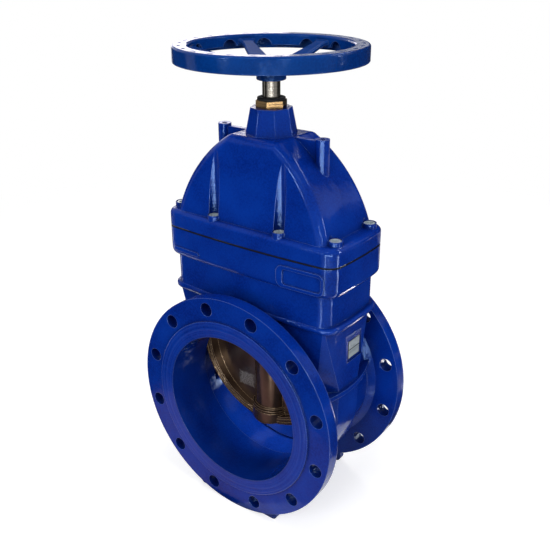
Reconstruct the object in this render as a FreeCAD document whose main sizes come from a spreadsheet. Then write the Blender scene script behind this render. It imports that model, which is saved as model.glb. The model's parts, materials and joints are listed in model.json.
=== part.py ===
import FreeCAD, Part
import Sketcher
import math
import os

# Wedge gate valve with flanged ends, non-rising stem and handwheel. Millimetres.
# Heights in this file count from the bore axis. The bore runs along Y, the stem along Z.
# Each finished piece is lifted by half the flange diameter, so the flanges stand on Z = 0.

os.makedirs("parts", exist_ok=True)
doc = FreeCAD.newDocument("gate_valve")
sheet = doc.addObject("Spreadsheet::Sheet", "sizes")

# Driving dimensions, one named cell each.
DIMENSIONS = {
    # pipe flanges and ports
    "face_to_face": 270.0,
    "flange_diameter": 445.0,
    "flange_thickness": 24.5,
    "raised_face_height": 4.0,
    "raised_face_margin": 22.0,
    "flange_hole_margin": 22.5,
    "flange_hole_count": 12.0,
    "flange_hole_diameter": 26.0,
    "bore_diameter": 295.0,
    "port_tube_diameter": 322.0,
    "flange_root_chamfer": 12.0,
    "foot_inner": 62.0,
    "foot_outer": 98.0,
    "foot_height": 34.0,
    "foot_setback": 11.0,
    "foot_corner": 11.0,
    # chamber round the wedge
    "chamber_half_length": 175.0,
    "chamber_end_half_width": 33.0,
    "chamber_shoulder_x": 145.0,
    "chamber_shoulder_y": 62.0,
    "chamber_straight_top": 60.0,
    "side_rib_height": 50.0,
    "side_rib_thickness": 9.0,
    "side_rib_reach": 182.0,
    "side_rib_tip_depth": 6.0,
    "side_rib_root_depth": 30.0,
    "label_pocket_width": 48.0,
    "label_pocket_height": 51.0,
    "label_pocket_depth": 2.0,
    "label_pocket_centre": 126.0,
    "label_pocket_offset": 21.0,
    # neck, collar and joint flange of the body
    "collar_bottom": 188.0,
    "collar_thickness": 12.0,
    "collar_end_proud": 10.0,
    "collar_side_proud": 3.0,
    "collar_corner": 29.0,
    "collar_round": 5.0,
    "neck_half_length": 179.0,
    "neck_half_width": 85.0,
    "neck_corner": 24.0,
    "chamber_top_end_inset": 11.0,
    "chamber_top_side_inset": 9.0,
    "chamber_top_corner": 2.0,
    "joint_height": 314.0,
    "joint_half_length": 192.0,
    "joint_half_width": 91.0,
    "joint_end_bulge": 5.0,
    "joint_side_bulge": 8.0,
    "joint_corner": 26.0,
    "joint_depth": 58.0,
    "joint_under_radius": 14.0,
    "panel_left": 77.0,
    "panel_right": 172.0,
    "panel_bottom": 263.0,
    "panel_top": 303.0,
    "panel_corner": 13.0,
    "panel_bead": 6.0,
    "panel_bead_left": 13.0,
    "panel_inner_corner": 6.0,
    "panel_proud": 2.2,
    "bar_inner": 103.0,
    "bar_outer": 168.0,
    "bar_bottom": 269.5,
    "bar_height": 8.0,
    "bar_corner": 3.9,
    "tap_depth": 46.0,
    "thread_gap": 0.1,
    # gasket
    "gasket_thickness": 2.0,
    "gasket_inset": 1.2,
    "gasket_window_corner": 16.0,
    "gasket_end_land": 11.5,
    "gasket_side_land": 13.0,
    # bonnet
    "bonnet_flange_thickness": 32.0,
    "bonnet_flange_round": 10.0,
    "bonnet_wall": 12.0,
    "bonnet_height": 500.0,
    "arch_radius": 251.0,
    "arch_centre_x": 78.0,
    "arch_centre_z": 286.0,
    "arch_foot_half_width": 82.0,
    "arch_top_half_width": 61.0,
    "arch_edge_round": 16.0,
    "cavity_post_radius": 19.0,
    "lug_x": 107.0,
    "lug_diameter": 24.0,
    "lug_top": 504.0,
    "lug_hole_diameter": 9.0,
    "lug_hole_depth": 16.0,
    "lug_foot": 436.0,
    "lug_web_thickness": 10.0,
    "lug_web_top": 500.0,
    "tower_top": 545.0,
    "tower_foot_radius": 46.0,
    "tower_top_radius": 37.0,
    "tower_edge_round": 4.0,
    # bonnet screws
    "screw_side_x": 73.0,
    "screw_side_y": 75.0,
    "screw_end_x": 172.0,
    "screw_end_y": 54.0,
    "screw_diameter": 14.0,
    "screw_head_diameter": 21.0,
    "screw_head_height": 14.0,
    "screw_head_round": 1.5,
    "screw_length": 60.0,
    "screw_socket": 12.0,
    "screw_socket_depth": 8.0,
    "screw_seat_depth": 6.5,
    "screw_boss_wall": 1.6,
    "screw_boss_rise": 0.6,
    "screw_boss_inset": 0.5,
    "screw_head_gap": 0.5,
    "screw_clearance": 0.5,
    "flute_radius": 11.0,
    "bonnet_stem_gap": 0.5,
    # wedge, shown partly lifted
    "wedge_radius": 149.6,
    "wedge_lift": 68.0,
    "wedge_stroke": 300.0,
    "wedge_half_width": 37.5,
    "wedge_taper": 0.06,
    "wedge_arch_gap": 6.0,
    "wedge_top": 158.0,
    "wedge_rim": 17.0,
    "wedge_web_half_width": 14.0,
    "wedge_tube_diameter": 72.0,
    "wedge_tube_foot_diameter": 84.0,
    "wedge_tube_foot_top": -122.6,
    "wedge_foot_radius": 147.0,
    "wedge_bead_width": 2.5,
    "wedge_bead_height": 2.0,
    "wedge_bead_first": 3.5,
    "wedge_bead_second": 10.0,
    "wedge_lining": 4.0,
    "wedge_boss_half_length": 40.0,
    "wedge_boss_half_width": 33.0,
    "wedge_boss_top": 184.0,
    "wedge_boss_round": 6.0,
    "stem_bore": 39.0,
    "seat_gap": 0.4,
    # guides of the wedge
    "guide_low": -46.0,
    "guide_high": 10.0,
    "guide_shoe_reach": 158.6,
    "guide_shoe_wall": 8.9,
    "guide_shoe_depth": 20.6,
    "guide_shoe_half_width": 12.5,
    "guide_tongue_half_width": 8.0,
    "guide_tongue_cover": 4.2,
    "guide_tongue_inset": 2.0,
    "guide_gap": 0.5,
    "shoe_gap": 0.1,
    # wedge nut
    "nut_width": 58.0,
    "nut_bottom": 138.0,
    "nut_height": 34.0,
    "nut_gap": 0.3,
    # stem and its bearing in the bonnet
    "stem_diameter": 36.0,
    "stem_bottom": 148.0,
    "stem_shaft_diameter": 31.0,
    "stem_groove_diameter": 28.0,
    "stem_square": 21.0,
    "stem_square_gap": 0.1,
    "stem_end_gap": 1.0,
    "stem_chamfer": 2.0,
    "stem_tap_depth": 45.0,
    "stem_shoulder": 590.7,
    "running_gap": 0.3,
    "bearing_bore": 46.0,
    "bearing_floor": 496.0,
    "bearing_seal": 5.0,
    "washer_thickness": 3.0,
    "bearing_gap": 0.2,
    "collar_height": 8.0,
    "collar_diameter": 44.0,
    "collar_split": 0.6,
    "gland_hex": 48.0,
    "gland_hex_height": 12.5,
    "gland_turn": -8.6,
    "gland_gap": 0.1,
    "gland_shaft_gap": 0.3,
    "ring_section": 3.6,
    "ring_gap": 0.05,
    "ring_groove_width": 4.4,
    "ring_first": 3.4,
    "ring_step": 6.0,
    "wiper_diameter": 49.0,
    "wiper_height": 4.5,
    "wiper_round": 1.25,
    # handwheel
    "wheel_diameter": 330.0,
    "wheel_top": 650.0,
    "wheel_rim_height": 27.5,
    "wheel_rim_width": 26.0,
    "wheel_rim_inner_height": 20.0,
    "wheel_rim_wall": 5.0,
    "wheel_rim_round": 4.0,
    "wheel_rim_chamfer": 1.0,
    "hub_diameter": 51.0,
    "hub_height": 28.0,
    "hub_round": 2.5,
    "spoke_count": 6.0,
    "spoke_turn": 26.5,
    "spoke_hub_width": 40.0,
    "spoke_rim_width": 19.0,
    "spoke_root_width": 36.0,
    "spoke_root_length": 18.0,
    "spoke_sunk": 3.0,
    "spoke_thickness": 9.0,
    "spoke_edge": 2.5,
    "spoke_hub_height": 606.0,
    "spoke_rim_height": 638.0,
    "finger_hollow_radius": 14.0,
    "finger_hollow_angle": 13.5,
    "finger_hollow_sunk": 2.0,
    "wheel_bolt_hex": 19.0,
    "wheel_bolt_head": 7.5,
    "wheel_bolt_diameter": 12.0,
    "wheel_bolt_length": 36.0,
    "wheel_washer_diameter": 36.0,
    "wheel_washer_thickness": 3.0,
}

for row, (alias, value) in enumerate(DIMENSIONS.items(), start=1):
    sheet.set(f"A{row}", alias)
    sheet.set(f"B{row}", str(value))
    sheet.setAlias(f"B{row}", alias)
doc.recompute()


class Size:
    """A number together with the spreadsheet expression that gives it."""

    def __init__(self, value, text):
        self.value = float(value)
        self.text = text

    def __add__(self, other):
        other = as_size(other)
        return Size(self.value + other.value, f"({self.text} + {other.text})")

    def __radd__(self, other):
        return as_size(other) + self

    def __sub__(self, other):
        other = as_size(other)
        return Size(self.value - other.value, f"({self.text} - {other.text})")

    def __rsub__(self, other):
        return as_size(other) - self

    def __mul__(self, other):
        other = as_size(other)
        return Size(self.value * other.value, f"({self.text} * {other.text})")

    def __rmul__(self, other):
        return as_size(other) * self

    def __truediv__(self, other):
        other = as_size(other)
        return Size(self.value / other.value, f"({self.text} / {other.text})")

    def __neg__(self):
        return Size(-self.value, f"(0 - {self.text})")


def as_size(number):
    if isinstance(number, Size):
        return number
    return Size(number, f"({float(number)})")


def root(size):
    return Size(math.sqrt(size.value), f"sqrt({size.text})")


class Cells:
    """Reads any cell by name, such as cells.bore_diameter."""

    def __getattr__(self, alias):
        return Size(DIMENSIONS[alias], f"sizes.{alias}")


cells = Cells()
ORIGIN = FreeCAD.Vector(0, 0, 0)
X_AXIS = FreeCAD.Vector(1, 0, 0)
Y_AXIS = FreeCAD.Vector(0, 1, 0)
Z_AXIS = FreeCAD.Vector(0, 0, 1)
PLANES = {
    "XY": (FreeCAD.Rotation(), "z"),
    "XZ": (FreeCAD.Rotation(X_AXIS, 90), "y"),
    "YZ": (FreeCAD.Rotation(FreeCAD.Vector(1, 1, 1), 120), "x"),
}


def bind(item, name, size):
    """Ties a property of an object to the sheet."""
    size = as_size(size)
    item.setExpression(name, size.text)


def add(kind, name):
    return doc.addObject(kind, name)


# Sketches

def free_sketch(name, plane, offset=0.0):
    """A sketch on a main plane, moved along that plane's axis."""
    sketch = add("Sketcher::SketchObject", name)
    turn, letter = PLANES[plane]
    sketch.Placement = FreeCAD.Placement(ORIGIN, turn)
    bind(sketch, f"Placement.Base.{letter}", offset)
    return sketch


def body_sketch(body, name, plane, offset=0.0):
    """A sketch on one of the body's own origin planes, moved along its normal."""
    sketch = body.newObject("Sketcher::SketchObject", name)
    support = [item for item in body.Origin.OriginFeatures if item.Role == f"{plane}_Plane"][0]
    sketch.AttachmentSupport = [(support, "")]
    sketch.MapMode = "FlatFace"
    bind(sketch, "AttachmentOffset.Base.z", offset)
    return sketch


def lock(sketch, geometry, spot, point, label):
    """Ties one point of a sketch to the sheet through its two coordinates."""
    for kind, axis, size in (("DistanceX", -2, point[0]), ("DistanceY", -1, point[1])):
        size = as_size(size)
        if size.value == 0:
            sketch.addConstraint(Sketcher.Constraint("PointOnObject", geometry, spot, axis))
            continue
        number = sketch.addConstraint(
            Sketcher.Constraint(kind, -1, 1, geometry, spot, size.value))
        name = f"{kind}_{label}"
        sketch.renameConstraint(number, name)
        bind(sketch, f"Constraints.{name}", size)


def arc_between(start, end, radius):
    """An arc from start to end that bulges to the right of the way there."""
    middle = (start + end) * 0.5
    half = (end - start).Length / 2
    rise = math.sqrt(max(radius * radius - half * half, 0.0))
    along = (end - start).normalize()
    left = FreeCAD.Vector(-along.y, along.x, 0)
    centre = middle + left * rise
    first = math.atan2(start.y - centre.y, start.x - centre.x)
    last = math.atan2(end.y - centre.y, end.x - centre.x)
    return Part.ArcOfCircle(Part.Circle(centre, Z_AXIS, radius), first, last)


def closed_path(sketch, points, arcs=None):
    """A closed outline, counter-clockwise. arcs gives a radius to the run after a point."""
    arcs = arcs or {}
    count = len(points)
    spots = [FreeCAD.Vector(as_size(x).value, as_size(y).value, 0) for x, y in points]
    for index in range(count):
        start = spots[index]
        end = spots[(index + 1) % count]
        if index in arcs:
            sketch.addGeometry(arc_between(start, end, as_size(arcs[index]).value), False)
        else:
            sketch.addGeometry(Part.LineSegment(start, end), False)
    for index in range(count):
        after = (index + 1) % count
        sketch.addConstraint(Sketcher.Constraint("Coincident", index, 2, after, 1))
    for index, point in enumerate(points):
        lock(sketch, index, 1, point, index)
    for index, radius in arcs.items():
        number = sketch.addConstraint(
            Sketcher.Constraint("Radius", index, as_size(radius).value))
        name = f"radius_{index}"
        sketch.renameConstraint(number, name)
        bind(sketch, f"Constraints.{name}", radius)
    return sketch


def circle_path(sketch, radius, centre=(0.0, 0.0)):
    number = sketch.addGeometry(
        Part.Circle(
            FreeCAD.Vector(as_size(centre[0]).value, as_size(centre[1]).value, 0),
            Z_AXIS, as_size(radius).value), False)
    lock(sketch, number, 3, centre, f"centre_{number}")
    held = sketch.addConstraint(Sketcher.Constraint("Radius", number, as_size(radius).value))
    name = f"radius_{number}"
    sketch.renameConstraint(held, name)
    bind(sketch, f"Constraints.{name}", radius)
    return sketch


def box_path(sketch, half_x, half_y, centre=(0.0, 0.0)):
    x, y = as_size(centre[0]), as_size(centre[1])
    return closed_path(sketch, [(x - half_x, y - half_y), (x + half_x, y - half_y),
                                (x + half_x, y + half_y), (x - half_x, y + half_y)])


def bulge_radius(half_chord, bulge):
    return (half_chord * half_chord + bulge * bulge) / (2 * bulge)


def cushion_path(sketch, half_length, half_width, inset=0.0):
    """The plan of the joint flange: four gently bulging sides."""
    end_bulge = cells.joint_end_bulge
    side_bulge = cells.joint_side_bulge
    corner_x = half_length - end_bulge - inset
    corner_y = half_width - side_bulge - inset
    side = bulge_radius(corner_x, side_bulge)
    end = bulge_radius(corner_y, end_bulge)
    return closed_path(
        sketch,
        [(-corner_x, -corner_y), (corner_x, -corner_y), (corner_x, corner_y), (-corner_x, corner_y)],
        {0: side, 1: end, 2: side, 3: end})


# Solids

def extrusion(name, sketch, ahead, behind=0.0):
    """Ahead runs along the positive main axis."""
    solid = add("Part::Extrusion", name)
    solid.Base = sketch
    solid.DirMode = "Custom"
    solid.Dir = sketch.Placement.Rotation.multVec(Z_AXIS)
    if sketch.Placement.Rotation.multVec(Z_AXIS).y < -0.5:
        solid.Dir = Y_AXIS
    solid.Solid = True
    bind(solid, "LengthFwd", ahead)
    bind(solid, "LengthRev", behind)
    return solid


def turned(name, sketch, axis, about=ORIGIN):
    solid = add("Part::Revolution", name)
    solid.Source = sketch
    solid.Axis = axis
    solid.Base = about
    solid.Angle = 360
    solid.Solid = True
    return solid


def loft(name, sketches):
    solid = add("Part::Loft", name)
    solid.Sections = sketches
    solid.Solid = True
    solid.Ruled = True
    return solid


def fuse(name, shapes):
    solid = add("Part::MultiFuse", name)
    solid.Shapes = shapes
    solid.Refine = True
    return solid


def common(name, shapes):
    solid = add("Part::MultiCommon", name)
    solid.Shapes = shapes
    solid.Refine = True
    return solid


def cut(name, base, tools):
    """Base without every one of the tools."""
    tool = tools[0]
    if len(tools) > 1:
        tool = fuse(f"{name}_tools", tools)
    solid = add("Part::Cut", name)
    solid.Base = base
    solid.Tool = tool
    solid.Refine = True
    return solid


def cylinder(name, radius, height, place=(0.0, 0.0, 0.0), axis="z"):
    solid = add("Part::Cylinder", name)
    if axis == "y":
        solid.Placement = FreeCAD.Placement(ORIGIN, FreeCAD.Rotation(X_AXIS, -90))
    if axis == "x":
        solid.Placement = FreeCAD.Placement(ORIGIN, FreeCAD.Rotation(Y_AXIS, 90))
    bind(solid, "Radius", radius)
    bind(solid, "Height", height)
    for letter, size in zip("xyz", place):
        bind(solid, f"Placement.Base.{letter}", size)
    return solid


def box(name, low, high):
    solid = add("Part::Box", name)
    for prop, letter, a, b in zip(("Length", "Width", "Height"), "xyz", low, high):
        bind(solid, prop, as_size(b) - a)
        bind(solid, f"Placement.Base.{letter}", a)
    return solid


def rounded(name, base, radius, wanted):
    """Rounds every edge of base that the test wanted accepts."""
    doc.recompute()
    radius = as_size(radius).value
    edges = [(number, radius, radius)
             for number, edge in enumerate(base.Shape.Edges, start=1) if wanted(edge)]
    if not edges:
        raise RuntimeError(f"{name}: no edge to round")
    solid = add("Part::Fillet", name)
    solid.Base = base
    solid.Edges = edges
    return solid


def upright(edge):
    """A straight edge along Z."""
    ends = [vertex.Point for vertex in edge.Vertexes]
    if len(ends) != 2:
        return False
    across = ends[1] - ends[0]
    return abs(across.x) < 0.01 and abs(across.y) < 0.01


def at_height(edge, height):
    box_z = edge.BoundBox
    return abs(box_z.ZMin - height) < 0.01 and abs(box_z.ZMax - height) < 0.01


NODES = {}


def finish(name, item, lift=None):
    """Names a finished piece and lifts it to its height above the floor."""
    item.Label = name
    bind(item, "Placement.Base.z", cells.flange_diameter / 2 + (lift or 0.0))
    NODES[name] = item
    return item


def group(name, shapes, lift=None):
    """A finished set of equal pieces that share one node."""
    item = add("Part::Feature", f"{name}_set")
    item.Shape = Part.makeCompound(shapes)
    return finish(name, item, lift)


def gathered(name, items):
    """Several separate solids held together as one object."""
    item = add("Part::Compound", name)
    item.Links = items
    return item


def moved(shape, x=0.0, y=0.0, z=0.0, turn=0.0):
    copy = shape.copy()
    copy.Placement = FreeCAD.Placement(
        FreeCAD.Vector(x, y, z), FreeCAD.Rotation(Z_AXIS, turn)).multiply(copy.Placement)
    return copy


# Bodies made of sketched features

def new_body(name):
    return add("PartDesign::Body", name)


def turn_feature(body, sketch, name, kind="PartDesign::Revolution"):
    """Turns a sketch on the XZ plane about the stem axis."""
    feature = body.newObject(kind, name)
    feature.Profile = sketch
    feature.ReferenceAxis = (sketch, ["V_Axis"])
    feature.Angle = 360
    body.Tip = feature
    return feature


def pad(body, sketch, name, length, reverse=False):
    feature = body.newObject("PartDesign::Pad", name)
    feature.Profile = sketch
    feature.Reversed = reverse
    bind(feature, "Length", length)
    body.Tip = feature
    return feature


def pocket(body, sketch, name, length, reverse=False):
    feature = body.newObject("PartDesign::Pocket", name)
    feature.Profile = sketch
    feature.Reversed = reverse
    bind(feature, "Length", length)
    body.Tip = feature
    return feature


def ring(name, inner, outer, low, high):
    """A plain turned ring as its own body."""
    body = new_body(name + "_body")
    sketch = body_sketch(body, name + "_section", "XZ")
    closed_path(sketch, [(inner, low), (outer, low), (outer, high), (inner, high)])
    turn_feature(body, sketch, name + "_turn")
    return body


def polygon_points(count, radius, first_angle):
    """Corners of a regular polygon. The angles are in degrees."""
    points = []
    for index in range(int(count)):
        angle = math.radians(first_angle + 360.0 * index / count)
        points.append((radius * math.cos(angle), radius * math.sin(angle)))
    return points


# Shared heights and spans
c = cells
half_face = c.face_to_face / 2
flange_face = half_face - c.raised_face_height
flange_back = flange_face - c.flange_thickness
flange_radius = c.flange_diameter / 2
hole_circle_radius = flange_radius - c.flange_hole_margin
raised_radius = hole_circle_radius - c.raised_face_margin
bore_radius = c.bore_diameter / 2
tube_radius = c.port_tube_diameter / 2
bonnet_foot = c.joint_height + c.gasket_thickness
bonnet_ledge = bonnet_foot + c.bonnet_flange_thickness
screw_seat = bonnet_ledge - c.screw_seat_depth
screw_head_room = c.screw_head_diameter / 2 + c.screw_head_gap
screw_boss_top = screw_seat + c.screw_head_height + c.screw_boss_rise
screw_spots = [(x * side, y * front)
               for x, y in ((c.screw_side_x, c.screw_side_y), (c.screw_end_x, c.screw_end_y))
               for side in (-1, 1) for front in (-1, 1)]
chamber_top_x = c.neck_half_length - c.chamber_top_end_inset
chamber_top_y = c.neck_half_width - c.chamber_top_side_inset
collar_low = c.bearing_floor + c.bearing_seal + c.washer_thickness + c.running_gap
collar_high = collar_low + c.collar_height
gland_low = collar_high + c.running_gap + c.washer_thickness
guide_tongue_reach = c.guide_shoe_reach - c.guide_tongue_cover

# How far a block runs past what it is trimmed by, and a cut past the face that it opens
MARGIN = 5.0
PAST = 1.0


def seat_half_width(height, gap=0.0):
    """Half width of the wedge room, which widens upwards."""
    return c.wedge_half_width + c.wedge_taper * height + gap


def make_body():
    """The cast body: ports, flanges, wedge chamber, neck and joint flange."""
    chamfer = c.flange_root_chamfer
    slope = ((c.chamber_shoulder_x - c.chamber_half_length)
             / (c.chamber_shoulder_y - c.chamber_end_half_width))
    ring_foot = c.chamber_end_half_width + (tube_radius - c.chamber_half_length) / slope
    half = [(c.chamber_half_length, c.chamber_end_half_width), (tube_radius, ring_foot),
            (tube_radius, flange_back - chamfer), (tube_radius + chamfer, flange_back),
            (flange_radius, flange_back), (flange_radius, flange_face),
            (raised_radius, flange_face), (raised_radius, half_face)]
    outline = [(0.0, -half_face)]
    outline += [(radius, -along) for radius, along in reversed(half)]
    outline += half
    outline += [(0.0, half_face)]
    ports = turned("ports", closed_path(free_sketch("ports_section", "XY"), outline), Y_AXIS)

    def chamber_section(name, height, end_x, end_y, shoulder_x, shoulder_y):
        corners = [(end_x, -end_y), (end_x, end_y), (shoulder_x, shoulder_y),
                   (-shoulder_x, shoulder_y), (-end_x, end_y), (-end_x, -end_y),
                   (-shoulder_x, -shoulder_y), (shoulder_x, -shoulder_y)]
        return closed_path(free_sketch(name, "XY", height), corners)

    low = (c.chamber_half_length, c.chamber_end_half_width, c.chamber_shoulder_x, c.chamber_shoulder_y)
    top = (chamber_top_x, chamber_top_y - c.chamber_top_corner,
           chamber_top_x - c.chamber_top_corner, chamber_top_y)
    chamber = loft("chamber", [chamber_section("chamber_low", 0.0, *low),
                               chamber_section("chamber_middle", c.chamber_straight_top, *low),
                               chamber_section("chamber_high", c.collar_bottom + MARGIN, *top)])

    joint_low = c.joint_height - c.joint_depth
    neck_sketch = cushion_path(free_sketch("neck_plan", "XY", c.collar_bottom),
                               c.neck_half_length, c.neck_half_width)
    neck_block = extrusion("neck_block", neck_sketch, joint_low - c.collar_bottom + c.joint_under_radius)
    neck = rounded("neck", neck_block, c.neck_corner, upright)
    collar_sketch = cushion_path(free_sketch("collar_plan", "XY", c.collar_bottom),
                                 c.neck_half_length + c.collar_end_proud,
                                 c.neck_half_width + c.collar_side_proud)
    collar_block = rounded("collar_block", extrusion("collar_slab", collar_sketch, c.collar_thickness),
                           c.collar_corner, upright)
    collar = rounded("collar", collar_block, c.collar_round, lambda edge: not upright(edge))
    joint_sketch = cushion_path(free_sketch("joint_plan", "XY", joint_low),
                                c.joint_half_length, c.joint_half_width)
    joint_block = rounded("joint_block", extrusion("joint_slab", joint_sketch, c.joint_depth),
                          c.joint_corner, upright)
    joint = rounded("joint", joint_block, c.joint_under_radius,
                    lambda edge: at_height(edge, joint_low.value))

    rib_reach = c.side_rib_reach
    rib_end = flange_back + PAST
    rib_root = tube_radius - c.side_rib_root_depth
    rib_tip = tube_radius - c.side_rib_tip_depth
    rib_side = bulge_radius(rib_end, rib_reach - rib_tip)
    rib_sketch = closed_path(
        free_sketch("side_rib_plan", "XY", c.side_rib_height - c.side_rib_thickness / 2),
        [(-rib_root, -rib_end), (rib_root, -rib_end), (rib_tip, -rib_end), (rib_tip, rib_end),
         (-rib_tip, rib_end), (-rib_tip, -rib_end)],
        {2: rib_side, 4: rib_side})
    side_rib = extrusion("side_rib", rib_sketch, c.side_rib_thickness)

    feet = []
    foot_face = flange_face - c.foot_setback
    for side, inner, outer in (("right", c.foot_inner, c.foot_outer),
                               ("left", -c.foot_outer, -c.foot_inner)):
        for end, near, far in (("front", -foot_face, -flange_back), ("back", flange_back, foot_face)):
            block = box(f"foot_{side}_{end}_block", (inner, near, -flange_radius),
                        (outer, far, c.foot_height - flange_radius))
            reach = max(abs(inner.value), abs(outer.value))
            feet.append(rounded(
                f"foot_{side}_{end}", block, c.foot_corner,
                lambda edge, reach=reach: at_height(edge, -flange_radius.value)
                and abs(abs(edge.BoundBox.Center.x) - reach) < 0.01 and edge.BoundBox.YLength > 1))

    panel_plan = cushion_path(free_sketch("panel_plan", "XY", c.panel_bottom), c.joint_half_length,
                              c.joint_half_width, -c.panel_proud)
    panel_skin = rounded("panel_skin", extrusion("panel_skin_block", panel_plan,
                                                 c.panel_top - c.panel_bottom),
                         c.joint_corner + c.panel_proud, upright)

    def front_block(name, left, right, low, high, corner):
        """A block with rounded corners, seen from the front, that stands out of the joint flange."""
        block = box(name, (left, -c.joint_half_width - MARGIN, low), (right, -c.neck_half_width, high))
        return rounded(f"{name}_rounded", block, corner, lambda edge: edge.BoundBox.YLength > 1)

    panel_outer = front_block("panel_outer", c.panel_left, c.panel_right, c.panel_bottom, c.panel_top,
                              c.panel_corner)
    panel_inner = front_block("panel_inner", c.panel_left + c.panel_bead_left, c.panel_right - c.panel_bead,
                              c.panel_bottom + c.panel_bead, c.panel_top - c.panel_bead,
                              c.panel_inner_corner)
    panel = common("panel", [panel_skin, cut("panel_frame", panel_outer, [panel_inner])])
    bar_block = front_block("bar_block", -c.bar_outer, -c.bar_inner, c.bar_bottom,
                            c.bar_bottom + c.bar_height, c.bar_corner)
    bar = common("bar", [panel_skin, bar_block])

    outer = fuse("body_outside", [ports, chamber, neck, collar, joint, side_rib, panel, bar] + feet)

    port = [(0.0, -half_face - PAST), (bore_radius, -half_face - PAST), (bore_radius, half_face + PAST),
            (0.0, half_face + PAST)]
    port_cut = turned("port_cut", closed_path(free_sketch("port_section", "XY"), port), Y_AXIS)

    slot_radius = c.wedge_radius + c.seat_gap
    room_top = c.joint_height + PAST
    slot_sketch = closed_path(
        free_sketch("wedge_room_front", "XZ"),
        [(-slot_radius, 0.0), (0.0, -slot_radius), (slot_radius, 0.0), (slot_radius, room_top),
         (-slot_radius, room_top)],
        {0: slot_radius, 1: slot_radius})
    room_front = extrusion("wedge_room_block", slot_sketch, half_face, half_face)
    room_low = -slot_radius - PAST
    room_side = closed_path(
        free_sketch("wedge_room_side", "YZ"),
        [(-seat_half_width(room_low), room_low), (seat_half_width(room_low), room_low),
         (seat_half_width(room_top), room_top), (-seat_half_width(room_top), room_top)])
    room_reach = slot_radius + MARGIN
    room_taper = extrusion("wedge_room_taper", room_side, room_reach, room_reach)
    room = common("wedge_room", [room_front, room_taper])

    guide_reach = c.guide_shoe_reach + c.guide_gap
    guide_half = c.guide_shoe_half_width + c.guide_gap
    guide_room = box("guide_room", (-guide_reach, -guide_half, c.guide_low - PAST),
                     (guide_reach, guide_half, room_top))

    holes = []
    for number, (x, y) in enumerate(screw_spots):
        holes.append(cylinder(f"screw_tap_{number}", c.screw_diameter / 2 + c.thread_gap, c.tap_depth + PAST,
                              (x, y, c.joint_height - c.tap_depth)))
    step = 360.0 / DIMENSIONS["flange_hole_count"]
    for number in range(int(DIMENSIONS["flange_hole_count"])):
        angle = math.radians(step * (number + 0.5))
        for end, start in (("front", -half_face), ("back", flange_back - PAST)):
            holes.append(cylinder(f"flange_hole_{end}_{number}", c.flange_hole_diameter / 2,
                                  half_face - flange_back + PAST,
                                  (hole_circle_radius * math.cos(angle), start,
                                   hole_circle_radius * math.sin(angle)), "y"))
    lean = (c.chamber_half_length - chamber_top_x) / (c.collar_bottom + MARGIN - c.chamber_straight_top)
    pocket_x = c.chamber_half_length - (c.label_pocket_centre - c.chamber_straight_top) * lean
    label_pocket = box(
        "label_pocket",
        (pocket_x - c.label_pocket_depth, c.label_pocket_offset - c.label_pocket_width / 2,
         c.label_pocket_centre - c.label_pocket_height / 2),
        (c.chamber_half_length + MARGIN, c.label_pocket_offset + c.label_pocket_width / 2,
         c.label_pocket_centre + c.label_pocket_height / 2))
    tools = [port_cut, room, guide_room, label_pocket] + holes
    return finish("body", cut("body_casting", outer, tools))


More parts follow.
